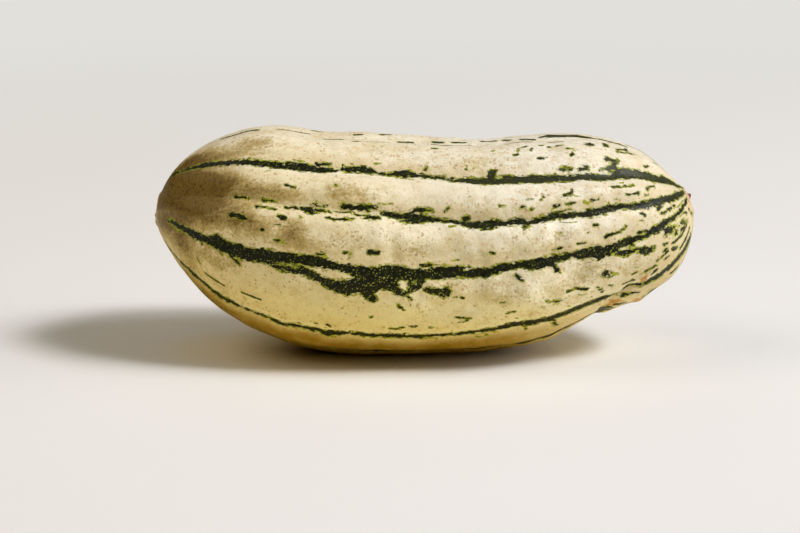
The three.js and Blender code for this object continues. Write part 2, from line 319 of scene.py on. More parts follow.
# The stripes' two edges, as (t, lower angle, upper angle).
upper_stripe = [
    (.10, 71.5, 74.5), (.108, 67.5, 71.5), (.122, 61.8, 66), (.14, 56, 60.6), (.156, 53.2, 57.8),
    (.173, 52, 57), (.189, 51.3, 55.5), (.205, 50.4, 53.8), (.225, 49.8, 53), (.25, 49.6, 53),
    (.275, 48.5, 52.4), (.30, 48.5, 52.8), (.315, 49, 53.4), (.33, 50, 54.4), (.345, 50.8, 55.4),
    (.36, 51.5, 54.6), (.37, 51.7, 54.8), (.38, 53, 55), (.39, 53.8, 55.2), (.40, 54, 56.5),
    (.41, 54.3, 57.5), (.42, 54.5, 58), (.43, 54.5, 57), (.44, 54.1, 55.4), (.45, 54, 55.2),
    (.458, 54, 56.5), (.47, 53.8, 57.8), (.48, 53.5, 56.6), (.49, 53.2, 55.7), (.50, 52.7, 54.6),
    (.515, 51.5, 53.2), (.53, 49.5, 52.2), (.54, 48.5, 52), (.555, 47, 51.5), (.57, 46.5, 51.4),
    (.60, 46.2, 50.9), (.63, 46, 50.2), (.66, 45.5, 49.4), (.68, 44.2, 48), (.70, 43.3, 47.5),
    (.72, 41.5, 46.8), (.74, 40.8, 46), (.752, 41.3, 46.3), (.765, 42.5, 50), (.78, 43.5, 51.5),
    (.80, 44.5, 52.5), (.82, 45, 53.5), (.84, 45.5, 54.8), (.86, 46.2, 57.5), (.875, 48.5, 60.5),
    (.89, 52, 63.5), (.91, 53, 64.5), (.93, 55.5, 65.5), (.945, 62, 72), (.96, 70, 80),
]
second_stripe = [
    (.447, 29.4, 30.6), (.46, 28.3, 30.8), (.475, 27.3, 30.4), (.49, 27, 30.5), (.50, 26.3, 30),
    (.51, 26.2, 28.6), (.52, 25.7, 27.5), (.53, 25.2, 26.8), (.54, 23.7, 26.1), (.55, 22.4, 25.6),
    (.56, 21.3, 25.5), (.57, 21.1, 26), (.58, 22, 26), (.59, 22.6, 25), (.60, 22.5, 26), (.61, 22, 25.7),
    (.62, 21, 24.4), (.63, 22.4, 25), (.65, 22, 26), (.66, 22.4, 25.5), (.67, 21.7, 24.4),
    (.69, 20.7, 23.4), (.71, 18.9, 23.4), (.73, 18.6, 22.8), (.75, 19.1, 23), (.78, 19.4, 23.2),
    (.80, 19.4, 24.4), (.82, 20.4, 26.6), (.84, 21.9, 29.1), (.86, 24.8, 31.6), (.88, 26.2, 34.1),
    (.90, 28.2, 38.1), (.91, 28.9, 41.6), (.93, 32.4, 44.1), (.945, 37.4, 49.6), (.957, 43.4, 57.6),
]
middle_stripe = [
    (.108, -8.6, -6.8), (.12, -9.2, -5.8), (.13, -9.5, -4.6), (.15, -10, -4.9), (.17, -10, -4.5),
    (.19, -10.4, -4.3), (.20, -10, -4.4), (.215, -9.1, -4.2), (.222, -9, -3), (.228, -9, -.6),
    (.24, -9.6, -.2), (.247, -9.6, -1.8), (.26, -10, -2.4), (.275, -9.3, -1.2), (.285, -8, -.9),
    (.295, -6.8, 0), (.305, -6, 1.5), (.315, -5.2, 2.3), (.33, -2.6, 3), (.34, -1.6, 3.8),
    (.35, -1.3, 3.6), (.36, -1, 4.5), (.375, -.4, 5.2), (.39, 0, 4.2), (.40, -.2, 3.1), (.41, -1, 3),
    (.42, -3, 2.8), (.44, -3, 2.1), (.45, -3, 3.1), (.46, -3, 3.2), (.48, -3, 2.2), (.50, -3, 1.9),
    (.51, -3, 2.1), (.52, -3.8, 2.4), (.53, -3.2, 2.3), (.54, -3, 2.6), (.55, -3.7, 2.2), (.557, -4, .7),
    (.57, -4, .4), (.58, -2.8, 1.4), (.59, -1.7, 2.1), (.60, -.8, 2.4), (.615, -.4, 2.4), (.625, -1.9, 3),
    (.64, -2.1, 3.2), (.655, -2, 2.5), (.67, -1.4, 1.8), (.68, -1.6, 1.5), (.688, -4.2, 1.4),
    (.70, -4.9, 1.2), (.707, -6.3, 1.1), (.715, -8.4, 0), (.725, -8.8, -1), (.735, -7.9, -1.3),
    (.745, -6.2, -1.1), (.755, -5.5, -.7), (.77, -5, -.7), (.78, -4.4, -.5), (.79, -3.2, .1),
    (.80, -2.3, 1.1), (.81, -1.8, 3.1), (.82, -1.3, 5.1), (.83, -.3, 7.5), (.84, 1.1, 8.6), (.85, 3.9, 9),
    (.865, 5.3, 9.9), (.88, 6.2, 11.1), (.895, 7.5, 12.5), (.91, 8.7, 14.7), (.92, 9.8, 17.8),
    (.935, 11.5, 20.5), (.948, 13, 24), (.958, 15, 28),
]
lower_strand = [
    (.312, -6.3, -4), (.325, -6.9, -3.8), (.335, -6.8, -4), (.35, -5.5, -3.2), (.358, -5.4, -1),
    (.365, -6, -2), (.375, -7.2, -3), (.385, -9, -4.4), (.395, -10.5, -5.4), (.405, -11.6, -5.5),
    (.415, -12.9, -4.4), (.422, -11.4, -2), (.44, -11.5, -2), (.452, -8.4, -2), (.46, -8.6, -2),
    (.468, -11, -2), (.476, -12.4, -2), (.484, -10.8, -2), (.494, -9.2, -2), (.502, -5, -2),
]
lower_stripe = [
    (.10, -61.3, -59.5), (.125, -56.9, -54.7), (.14, -54.3, -52), (.15, -53.3, -49.7),
    (.16, -51.8, -48.2), (.17, -50.3, -46.7), (.18, -48.3, -44.7), (.19, -46.9, -43.1),
    (.20, -46.4, -42.2), (.22, -45.9, -42.7), (.25, -45.9, -42.7), (.27, -45.3, -41.7),
    (.285, -43.8, -41.4), (.30, -42.6, -40.7), (.315, -41.3, -39.7), (.327, -41, -39.3),
    (.33, -42.4, -39.9), (.34, -42.5, -39.9), (.35, -41, -38.6), (.365, -40.3, -37.9),
    (.385, -40.1, -37.6), (.39, -41.9, -38.2), (.396, -43, -38.6), (.403, -41.4, -37.8),
    (.415, -40.4, -37.6), (.43, -40.2, -38.2), (.445, -41.4, -38.8), (.455, -41, -38.9),
    (.465, -42.4, -39.3), (.48, -42.7, -39.8), (.50, -42.8, -39.9), (.515, -41.8, -39.6),
    (.53, -40.5, -38.7), (.55, -39.7, -37.6), (.57, -38.8, -36.5), (.59, -38.4, -35.3),
    (.60, -38.1, -34.7), (.62, -38.1, -34.7), (.64, -39.1, -36.1), (.655, -40.2, -37),
    (.67, -40.8, -37.3), (.69, -41.6, -37.4), (.705, -42.6, -38.3), (.715, -43, -39.6),
    (.724, -43, -40.8), (.733, -43.2, -42.2),
]
thin_end = [
    (.738, -45.4, -44.4), (.744, -44, -42.4), (.75, -43, -40), (.757, -42.8, -40), (.765, -44.6, -41.6),
    (.773, -46.2, -43.6), (.779, -46.8, -45),
]
end_stripe = [
    (.786, -45.8, -44.4), (.79, -45.6, -42), (.795, -45.2, -39.8), (.805, -45.7, -40.4),
    (.816, -45.3, -40), (.829, -44.4, -38.4), (.841, -44, -37.4), (.856, -42.8, -36.8),
    (.87, -43.6, -36.8), (.885, -45.6, -38.2), (.895, -47.6, -39.4), (.904, -50, -39.6), (.914, -52, -41),
    (.922, -54, -43),
]
stripes = [upper_stripe, second_stripe, middle_stripe, lower_strand, lower_stripe, thin_end, end_stripe]

# Patches with an outline of their own, as (t, angle) corners, and pale gaps left in the green.
patches = [
    [(.43, -10), (.443, -9), (.448, -14), (.446, -15.6), (.438, -14.6), (.432, -12.5)],
    [(.50, -8), (.515, -8.2), (.528, -8.2), (.531, -10.5), (.53, -13.6), (.524, -14), (.515, -12.3),
     (.503, -10)],
    [(.48, 31), (.485, 32.8), (.495, 33.3), (.509, 32), (.507, 31), (.495, 31.4)],
    [(.358, 30.6), (.363, 32.4), (.372, 31.8), (.381, 32), (.375, 30.8), (.365, 30.4)],
    [(.352, 26.7), (.355, 29), (.365, 29.6), (.375, 29.2), (.368, 27.6), (.36, 26.4)],
    [(.394, 31.6), (.398, 33.2), (.41, 33), (.42, 33.7), (.43, 33.2), (.445, 34.4), (.443, 33), (.43, 31),
     (.405, 30.8)],
    [(.424, 27), (.43, 28.6), (.445, 28.4), (.446, 26.4), (.438, 25.8)],
    [(.47, 25.8), (.474, 28), (.50, 27.5), (.503, 26), (.49, 25.3)],
    [(.569, 51), (.57, 55.6), (.579, 55.6), (.578, 51)],
    [(.661, 52.6), (.664, 54), (.675, 53), (.686, 52.3), (.685, 50.8), (.672, 51), (.664, 51.6)],
    [(.695, 49.6), (.70, 52), (.715, 52), (.713, 49.8), (.70, 49)],
    [(.733, 48.8), (.74, 50.8), (.755, 52), (.76, 54.5), (.772, 58.5), (.775, 57), (.766, 54), (.768, 50),
     (.755, 49.6)],
    [(.747, 56.6), (.75, 58.6), (.76, 58), (.765, 57), (.755, 56.4)],
    [(.715, 71), (.72, 74), (.726, 75.5), (.734, 72.5), (.732, 69.6), (.723, 69.2)],
    [(.752, 70.5), (.752, 79), (.759, 79), (.759, 71)],
    [(.604, -3.6), (.608, -3.2), (.618, -6.6), (.617, -8), (.61, -6)],
    [(.642, -1), (.655, -1), (.66, -6), (.662, -7.8), (.656, -7.2), (.65, -3.6)],
    [(.738, -8), (.745, -6), (.752, -8), (.765, -8.8), (.777, -8.3), (.785, -9.2), (.80, -10.6),
     (.811, -11.2), (.81, -13.6), (.80, -14.9), (.79, -15.6), (.784, -13.5), (.776, -10.4), (.765, -10.9),
     (.757, -11.9), (.745, -10.4)],
    [(.717, -17.2), (.723, -16.6), (.728, -18.5), (.729, -22), (.72, -20.5)],
    [(.833, -5), (.838, -3), (.843, 2), (.85, 1.4), (.86, 1), (.87, -.2), (.873, -2), (.866, -3.8),
     (.857, -5), (.85, -4.6), (.842, -6.2)],
    [(.864, -9.6), (.867, -7.2), (.876, -6), (.876, -8.6), (.869, -10.5)],
    [(.889, -3.6), (.895, -1.8), (.905, -2.4), (.911, -8), (.918, -12), (.915, -15.2), (.905, -13),
     (.903, -8), (.898, -4.4)],
    [(.709, -77), (.711, -62), (.714, -56), (.718, -56.5), (.721, -54.2), (.729, -55.6), (.728, -60),
     (.724, -65), (.72, -73), (.716, -80)],
    [(.653, -38), (.658, -41), (.665, -47.6), (.662, -47.4), (.657, -44)],
    [(.655, -24.4), (.662, -24.6), (.669, -26.4), (.661, -26.4)],
]
gaps = [
    [(.470, -5), (.476, -3.4), (.483, -4.4), (.484, -7.5), (.479, -9.4), (.472, -7.6)],
    [(.488, -3.8), (.4925, -4), (.492, -6.3), (.4885, -6)],
    [(.335, -2.2), (.35, -1.7), (.352, -2.6), (.34, -3.5)],
    [(.309, 52.2), (.315, 52.2), (.315, 52.9), (.309, 52.9)],
    [(.518, 51.9), (.532, 51), (.534, 51.5), (.522, 52.4)],
    [(.545, .6), (.575, .9), (.575, 1.5), (.547, 1.3)],
]

# Where the fold healed, the skin turned to orange-tan cork.
healed = [
    [(.721, -53.5), (.725, -50.2), (.729, -48.2), (.739, -49), (.75, -52.8), (.748, -54.4), (.736, -51.6),
     (.731, -52.4), (.728, -55)],
    [(.76, -64), (.766, -59.5), (.782, -66), (.782, -73), (.775, -75), (.768, -74)],
    [(.772, -41.4), (.776, -37.6), (.782, -35.7), (.789, -34.6), (.792, -37.3), (.791, -39.5),
     (.786, -42), (.779, -44.2)],
]

# Dashes and flecks, as (t, angle) to (t, angle) and half-width in mm. The second list is lime.
dashes = [
    (.205, 92, .225, 91, .5), (.225, 91, .262, 89.5, .7), (.643, 92.6, .662, 93.4, 1.2),
    (.655, 92.8, .69, 91.8, 1.7), (.684, 91.4, .71, 92.4, 1.5), (.703, 92.2, .735, 91.2, 1.1),
    (.73, 91.5, .80, 89, .5), (.404, 92, .413, 93, .7), (.404, 79, .413, 80, .5),
    (.464, 86, .481, 87, .8), (.506, 76, .511, 75.8, .6), (.509, 88.5, .517, 89, 1.1),
    (.531, 90, .545, 91, .8), (.565, 94, .581, 93, .8), (.592, 93, .598, 92, 1.1),
    (.614, 89.5, .632, 88, .8), (.44, 95, .452, 96, .6), (.345, 97, .36, 96, .6),
    (.357, 56.4, .378, 57.3, .45), (.392, 55.4, .393, 58, .35), (.497, 57.8, .499, 59.6, .45),
    (.545, 57, .546, 59, .25), (.25, 26.4, .272, 26.8, .35), (.292, 27.8, .312, 29, .45),
    (.285, 22.6, .298, 23.4, .35), (.298, 23.4, .312, 24.2, .3), (.326, 26.4, .336, 27.2, .5),
    (.336, 27.4, .358, 29.2, .5), (.375, 28.6, .408, 29.4, .3), (.38, 25, .392, 24.6, .4),
    (.392, 24.6, .413, 25.8, .4), (.415, 28.4, .426, 28, .3), (.321, 38, .333, 38, .45),
    (.25, 14.5, .273, 14.7, .8), (.319, 20.4, .327, 20.6, .7), (.315, 15.8, .322, 16.2, .2),
    (.299, 11, .301, 11.2, .4), (.319, 8, .324, 8.2, .35), (.436, 9.7, .446, 9.6, .75),
    (.405, 8.6, .415, 8.6, .35), (.412, 6.5, .414, 6.5, .3), (.386, 41.8, .389, 41.8, .4),
    (.345, 22.6, .349, 22.8, .35), (.374, 6, .382, 6.6, .4), (.377, 6, .378, 8, .25),
    (.496, 3.4, .509, 3.4, .5), (.522, 31.4, .525, 32.8, .5), (.543, 27.6, .549, 28, .7),
    (.208, -11, .21, -11.2, .35), (.262, -10, .278, -12.6, .4), (.246, -11, .249, -11.2, .3),
    (.472, -17, .479, -20, .35), (.483, -12, .487, -14, .25), (.545, -14.4, .547, -14.8, .4),
    (.443, -24.8, .444, -25, .3), (.466, -34, .472, -34.2, .5), (.472, -34.2, .48, -33, .4),
    (.488, -32, .495, -32, .4), (.483, -38.5, .485, -38.5, .35), (.51, -33, .513, -33, .4),
    (.361, -36.5, .364, -37, .35), (.378, -33, .383, -33.6, .35), (.394, -32.8, .398, -34.6, .3),
    (.54, -26, .557, -27, .3), (.543, -29, .553, -28.8, .25), (.576, 8.6, .579, 8.6, .5),
    (.592, -18.6, .597, -18.6, .3), (.60, -26.2, .61, -25, .25), (.583, 32.5, .593, 32.5, .3),
    (.61, 31, .615, 31, .4), (.617, 34.5, .626, 34.3, .2), (.635, 34, .64, 35.4, .3),
    (.622, 29.7, .626, 29.7, .3), (.615, 19.8, .624, 21, .35), (.654, 29.4, .662, 29.6, .5),
    (.66, 26, .68, 26, .25), (.67, 28.8, .685, 28.7, .35), (.71, 28.2, .724, 28.2, .4),
    (.736, 22.4, .74, 24.6, .5), (.669, 34.2, .678, 34, .4), (.681, 34, .682, 36.8, .45),
    (.635, 60.4, .642, 60.6, .6), (.687, 60.2, .69, 61.6, .6), (.68, 66.3, .692, 65.6, .35),
    (.606, 68, .608, 71, .4), (.608, 71, .618, 72.6, .4), (.601, 65, .607, 65, .4),
    (.624, 68, .625, 70, .4), (.65, 70.5, .653, 70.6, .4), (.664, 71, .675, 71, .35),
    (.575, 70, .577, 70.2, .35), (.637, 73.6, .642, 73.6, .45), (.776, 69.6, .788, 73, .6),
    (.788, 73, .797, 74, .6), (.794, 73, .796, 81, .5), (.775, 66, .79, 67.5, .3),
    (.79, 67.5, .812, 71, .35), (.828, 60, .838, 62.5, .35), (.857, 77, .872, 84, .3),
    (.75, 35.6, .757, 34.5, .35), (.757, 34.5, .785, 35.4, .35), (.785, 35.6, .791, 37, .4),
    (.775, 29.2, .79, 30, .3), (.79, 30, .80, 31.2, .35), (.818, 35, .828, 38, .3),
    (.828, 38, .838, 39.4, .35), (.812, 29.6, .82, 30.6, .25), (.712, 13.4, .718, 12.6, .45),
    (.652, 5.7, .665, 5.7, .35), (.686, 5.4, .698, 4.8, .25), (.728, 4.6, .737, 4.8, .55),
    (.737, 4.8, .755, 5.4, .3), (.755, 5.6, .764, 8.2, .45), (.795, 15.5, .802, 14.2, .45),
    (.81, 18.6, .814, 19, .3), (.835, 18.6, .843, 21.6, .5), (.84, 14.6, .86, 16.4, .35),
    (.86, 17, .885, 20.4, .5), (.782, 1.6, .80, 2.4, .5), (.77, -5.6, .773, -5.8, .4),
    (.833, -12.5, .844, -12.4, .35), (.812, -24, .826, -22.4, .35), (.826, -22, .839, -20, .4),
    (.83, -18.4, .839, -16.2, .35), (.83, -26.6, .841, -25.8, .35), (.852, -21.4, .864, -24, .6),
    (.855, -15.4, .885, -15.8, .35), (.885, -16.4, .912, -15, .5), (.889, -10, .90, -13, .5),
    (.918, 4.5, .924, 2, .35), (.841, -51, .861, -52.2, .55), (.798, -36.4, .81, -33.4, .5),
    (.748, -35.2, .762, -35.2, .4), (.762, -34.6, .766, -37, .4), (.734, -53.2, .75, -57.6, .5),
    (.729, -57, .742, -70, .35), (.742, -70, .761, -66, .3), (.745, -47.7, .763, -49.9, .45),
    (.763, -49.9, .774, -52.2, .25), (.79, -57, .811, -60.4, .2), (.924, 2, .929, -2, .35),
    (.943, -1, .948, -8, .3), (.876, -30.4, .90, -30.6, .6), (.90, -30.6, .922, -30, .5),
    (.95, -20, .955, -32, .35), (.786, -31, .80, -30, .35), (.80, -30, .81, -28.4, .4),
    (.762, -28.2, .772, -28, .3), (.673, -21.6, .679, -21.8, .4), (.684, -21.8, .69, -24, .35),
    (.69, -24, .698, -25.6, .35), (.646, -22, .65, -24.2, .25), (.71, -27.6, .715, -30, .3),
    (.715, -30, .718, -34, .4), (.727, -30, .731, -31, .35), (.618, -36.6, .622, -39, .3),
    (.622, -39, .626, -41.6, .35),
]
lime_dashes = [
    (.325, 56.2, .342, 56.4, .3), (.288, 44.6, .297, 46.6, .3), (.418, 57.6, .424, 58.8, .5),
    (.434, 60.4, .442, 60.8, .4), (.465, 52.8, .475, 52.2, .3), (.475, 52, .483, 51.4, .35),
    (.332, 49.6, .342, 49.4, .3), (.403, 59, .406, 59, .25), (.552, 56.6, .554, 58, .3),
    (.205, -24, .21, -26.8, .55), (.13, -11.6, .162, -12, .5), (.448, 34.6, .46, 35.3, .35),
    (.527, 23.4, .534, 23.6, .5), (.65, 28.2, .66, 28.6, .4), (.70, 28.6, .706, 26.6, .6),
    (.75, 26.6, .757, 26.6, .3), (.766, 38, .773, 38.2, .4), (.685, 32.3, .695, 31.9, .25),
    (.66, 20.4, .672, 19.2, .25), (.675, 18.6, .69, 17.6, .25), (.613, 17.5, .617, 17.5, .3),
    (.662, 14, .665, 14, .3), (.70, 10, .704, 10.2, .35), (.785, 10.4, .798, 10.6, .25),
    (.895, 17.4, .908, 19.6, .25), (.908, 19.6, .922, 22.4, .25), (.922, 22.4, .935, 24.4, .25),
    (.895, 5, .916, 5.2, .3), (.51, 3.4, .525, 3.6, .4), (.53, 5.4, .547, 6.2, .25),
    (.325, 8.2, .337, 7.6, .3), (.644, 61, .648, 61, .35), (.693, 64.6, .696, 63.4, .35),
    (.484, -14, .488, -18, .25), (.53, -13.6, .54, -14, .3), (.532, -6.4, .534, -7, .35),
    (.565, -41, .572, -40, .3), (.572, -40, .58, -41.6, .3), (.58, -41.6, .573, -43.6, .35),
    (.573, -43.6, .565, -41.6, .3), (.612, -30.4, .614, -31.4, .35), (.642, -35.4, .644, -36, .4),
    (.655, -27.4, .662, -27.6, .35), (.64, -26, .646, -26, .25), (.687, -27, .692, -28.4, .4),
    (.692, -28.6, .706, -29.4, .3), (.674, -32.8, .676, -34.6, .35), (.703, -33.4, .704, -35, .35),
    (.776, -32, .787, -31, .3), (.729, -19.4, .741, -23, .5), (.728, -22.4, .741, -23.4, .4),
    (.727, -19, .732, -19.4, .4), (.768, -23, .775, -23.2, .3), (.235, -18, .237, -18, .2),
    (.398, -41.6, .405, -43, .5), (.505, -42.8, .52, -43.2, .4), (.272, -10.8, .276, -13.4, .35),
    (.505, 3.8, .52, 3.4, .3), (.575, 69.8, .578, 70, .3), (.44, 82, .445, 82, .3),
    (.50, 84, .51, 83.6, .3), (.545, 83.6, .56, 83.2, .3), (.47, 84, .485, 83.8, .3),
    (.44, 75, .443, 75, .3), (.52, 74, .523, 74, .3),
]

# Thin straight dashes, as (t, angle) to (t, angle), all about a quarter of a millimetre to each side.
thin_dashes = [
    (.226, -31.9, .255, -31.4), (.288, -29.1, .309, -28.5), (.295, 90, .321, 89.4),
    (.321, 89.4, .340, 88.9), (.365, 80.7, .386, 81.2), (.508, 83, .548, 82.6), (.805, 99, .868, 96.5),
    (.868, 96.5, .932, 97), (.60, 83, .625, 82), (.655, 80, .675, 79.4),
]


def chains(lines):
    """Each dash (t, angle, t, angle, half-width) as a stroke that narrows by a tenth."""
    return [[(t0, v0, width), (t1, v1, width * 0.9)] for t0, v0, t1, v1, width in lines]


# Five furrows lie underneath and on the far side, and carry stripes too. Each stripe wanders and changes
# its width by noise, read along a line of its own.
hidden = []
walk = np.linspace(0.07, 0.955, 40)
for number, (_, course) in enumerate(furrows[5:], start=5):
    line = np.stack([walk * 90, np.full(40, number * 31.0), np.zeros(40)], axis=-1)
    angle = along(course, walk) + 1.6 * grain(line, 7, 11)
    width = 1.0 + 0.95 * grain(line, 9, 12) + 0.5 * grain(line, 3, 13)
    fade = smooth(0.05, 0.12, walk)
    hidden.append(np.stack([walk, angle, width * fade], axis=-1))

# Small flecks over the far side, more of them towards the blossom end.
scatter = np.random.default_rng(7)
for _ in range(240):
    place = 1 - 0.85 * scatter.random() ** 1.3
    angle = scatter.uniform(108, 300)
    length = scatter.uniform(0.004, 0.02)
    width = scatter.uniform(0.15, 0.6)
    tilt = scatter.uniform(-2, 2)
    if 0.12 < place < 0.93:
        hidden.append([(place, angle, width), (place + length, angle + tilt, width * 0.8)])

# A field holds, in mm, how deep inside a mark each point is, and starts well outside every mark.
well_outside = -6.0
stripe = np.full(len(t_all), well_outside)
fill(stripe, stripes)
for outline in patches:
    stripe = np.maximum(stripe, depth_inside(outline))
for outline in gaps:
    stripe = np.minimum(stripe, -depth_inside(outline))
mark(stripe, chains(dashes), 1.6)
mark(stripe, hidden)
lime_mark = np.full(len(t_all), well_outside)
mark(lime_mark, chains(lime_dashes), 1.6)

# The green carries most of its pale pinholes near these strokes.
splash = np.full(len(t_all), well_outside)
mark(splash, [
    [(.31, -4, 2), (.38, -6, 2), (.42, -6, 5), (.50, -5, 4), (.53, -11, 2)],
    [(.70, -3, 4), (.75, -4, 3), (.80, -13, 2)],
])


def keep(name, values):
    """Stores one value for each point of the mesh, for the material to read by name."""
    mesh.attributes.new(name, "FLOAT", "POINT").data.foreach_set("value", values.astype(np.float32))


# A thin dash is kept as the signed distance across it and the distance to it, which stay true between the
# mesh's points.
across, distance_to_thin = np.full(len(t_all), 3.0), np.full(len(t_all), 9.0)
for t0, v0, t1, v1 in thin_dashes:
    x, y = (t_all - t0) * mm_per_t, wrap(v_all - v0) * mm_per_degree
    dx, dy = (t1 - t0) * mm_per_t, (v1 - v0) * mm_per_degree
    length = np.hypot(dx, dy) + 1e-9
    share = np.clip((x * dx + y * dy) / length**2, 0, 1)
    distance = np.hypot(x - share * dx, y - share * dy)
    across = np.where(distance < distance_to_thin, (x * dy - y * dx) / length, across)
    distance_to_thin = np.minimum(distance, distance_to_thin)
keep("thin_across", np.clip(across, -3, 3))
keep("thin_near", 0.9 - np.minimum(distance_to_thin, 3))

keep("stripe", stripe)
keep("lime_mark", lime_mark)
keep("splash", smooth(-3, 1, splash))
keep("healed", np.max([depth_inside(outline) for outline in healed], axis=0))

# ---- The skin's finish ----
# A hard satin skin, cream with warmer and greener clouds, brown freckles thickest towards the stem, and dry
# tan cork where the flower and the stem fell off and where the fold healed. Shade, highlights and a sheen
# are painted into its colour as well.

# Cork covers the two end scars. The nub is the middle of the blossom scar.
radius_all = along(radius_stations, t_all) * np.sin(np.pi * t_all)
cork = np.where(t_all < 0.5, 1 - smooth(5.0, 6.4, radius_all), 1 - smooth(4.9, 5.6, radius_all))
keep("cork", cork)
keep("nub", (1 - smooth(0.9, 1.5, radius_all)) * (t_all > 0.5))

# Brown weathering and painted shade, darkest over the stem end and in some furrows, where shade is painted
# in:
# place (t, angle), reach along and around in mm, and strength. A negative strength keeps the skin clean.
weathering_and_shade_spots = [
    (.13, 38, 10, 14, .85), (.17, 25, 13, 9, 1.1), (.19, 36, 12, 6, .7), (.205, 30, 6, 6, .3),
    (.27, 62, 14, 5, .2), (.27, 30, 10, 5, .55), (.275, 14, 8, 4, .6), (.345, 18, 5, 6, .6),
    (.40, 14, 11, 4, .35), (.40, 38, 10, 4, .4), (.32, 34, 10, 4, .4), (.17, 61, 12, 5, .25),
    (.155, 66, 7, 3, .35), (.22, 56, 10, 3, .25), (.17, -20, 8, 5, .35), (.17, -34, 16, 6, .3),
    (.32, 11, 8, 5, .35), (.57, 9, 8, 3, .2), (.66, 10, 7, 3, .2), (.23, -50, 10, 4, .3),
    (.38, -49, 9, 4, .5), (.52, -54, 5, 4, .4), (.07, 34, 6, 8, .4), (.46, 68, 14, 4, .2),
    (.20, 2, 20, 14, .15), (.21, 10, 12, 6, .3), (.25, 66, 8, 4, .3), (.79, -30, 5, 4, .25),
    (.70, -12, 7, 5, .3), (.50, 14, 6, 5, .2), (.57, 62, 8, 4, .3), (.24, -14, 12, 6, .3),
    (.27, -38, 14, 5, .2), (.17, 46, 8, 3, -.35), (.11, 9, 12, 3, -.5), (.51, 45, 12, 5, -.9),
    (.50, 24, 14, 3, -.6), (.42, 22, 12, 3, -.5), (.45, -24, 26, 6, -.7), (.58, 45, 12, 4, -.5),
    (.36, 26, 10, 3, -.5), (.30, 46, 10, 4, -.3), (.88, 20, 16, 30, -.4), (.60, -12, 12, 4, .25),
    (.68, -18, 8, 5, .25), (.76, -18, 7, 4, .25), (.66, 12, 8, 4, .2), (.73, 38, 14, 5, .15),
    (.78, 14, 10, 5, .15), (.62, -26, 10, 3, .15),
]
# Weathering and painted shade together, summed from the spots above.
weathering_and_shade = np.zeros(len(t_all))
for spot_t, spot_v, reach_along, reach_around, strength in weathering_and_shade_spots:
    x = (t_all - spot_t) * mm_per_t / reach_along
    y = wrap(v_all - spot_v) * mm_per_degree / reach_around
    weathering_and_shade += strength * np.exp(-x * x - y * y)
keep("weathering_and_shade", np.clip(weathering_and_shade, -1, 1.2))


def beside(edges, below, full, gone):
    """1 just past a stripe's lower or upper edge, still 1 at full mm from it, and 0 from gone mm on."""
    place, low, high = np.array(edges).T
    under = np.interp(t_all, place, low) - wrap(v_all)
    over = wrap(v_all) - np.interp(t_all, place, high)
    past = (under if below else over) * mm_per_degree
    return smooth(-0.5, 0.3, past) * (1 - smooth(full, gone, past))


# A painted highlight, a pale line, follows these stripes, below the upper two and above the lower one.
crest = np.zeros(len(t_all))
for edges, below in ((upper_stripe, True), (second_stripe, True), (lower_stripe, False)):
    start = edges[0][0]
    reaches = smooth(start - 0.02, start + 0.1, t_all) * (1 - smooth(0.80, 0.90, t_all))
    crest = np.maximum(crest, beside(edges, below, 1.0, 3.4) * reaches)
keep("crest", crest)

# A tan band of painted shade lies above these stripes, in the furrows.
painted_furrow_shade = np.zeros(len(t_all))
for edges, fades_at in ((upper_stripe, 0.52), (second_stripe, 0.70), (middle_stripe, 0.70)):
    reaches = smooth(0.25, 0.40, t_all) * (1 - smooth(fades_at, fades_at + 0.15, t_all))
    painted_furrow_shade = np.maximum(painted_furrow_shade, beside(edges, False, 1.5, 6) * reaches)
keep("painted_furrow_shade", painted_furrow_shade)

# A pale lip runs along the fold's crease, a painted highlight where its edge catches the light.
lip = np.full(len(t_all), well_outside)
mark(lip, [[
    (.707, -70, .35), (.712, -55, .4), (.716, -50.5, .45), (.723, -47.5, .45), (.731, -45.5, .4),
    (.741, -43, .35), (.75, -40.5, .2),
]])
keep("lip", lip)

# How far up or down the side of the fruit a point is, the same on the far side as on the best side.
lift = np.degrees(np.arcsin(np.sin(np.radians(v_all))))
keep("stemward", (1 - smooth(0.20, 0.75, t_all)) * (1 - 0.5 * smooth(50, 75, lift)))
# Darker and duller towards the blossom end, more so low down and less on top: a painted shade.
blossom_end_shade = smooth(0.62, 0.92, t_all) * (0.9 + 0.4 * (1 - smooth(-30, 10, lift)))
keep("blossom_end_shade", blossom_end_shade * (1 - 0.6 * smooth(45, 75, lift)))
# Paler green on the upper sides of the middle stripes: a painted sheen.
keep("painted_sheen", 0.75 * smooth(15, 45, lift) * smooth(0.42, 0.60, t_all))
# Warmer and darker low on the sides: a painted shade, warm like light thrown up from the board.
keep("low_side_painted_shade", 0.5 * (1 - smooth(-58, -12, lift)) * (1 - 0.3 * smooth(0.55, 0.80, t_all)))
keep("aged", 1 - 0.75 * smooth(0.50, 0.75, t_all))

# The side that lay on the ground is golden, from the lower stripe on down, and painted darker there as
# shade where it turns under.
place, low, high = np.array(lower_stripe).T
down = smooth(-2, 9, np.interp(t_all, place, low) - wrap(v_all)) * smooth(-165, -145, wrap(v_all))
keep("ground_side_and_shade", down * smooth(0.06, 0.16, t_all) * (1 - smooth(0.58, 0.72, t_all)))


def paint(red, green, blue):
    """A colour given as it looks, 0 to 255, turned into the linear values that shaders use."""
    c = np.array([red, green, blue]) / 255
    return (*np.where(c <= 0.04045, c / 12.92, ((c + 0.055) / 1.055) ** 2.4), 1)


finish = bpy.data.materials.new("squash_skin")
finish.use_nodes = True
tree = finish.node_tree
shader = tree.nodes["Principled BSDF"]


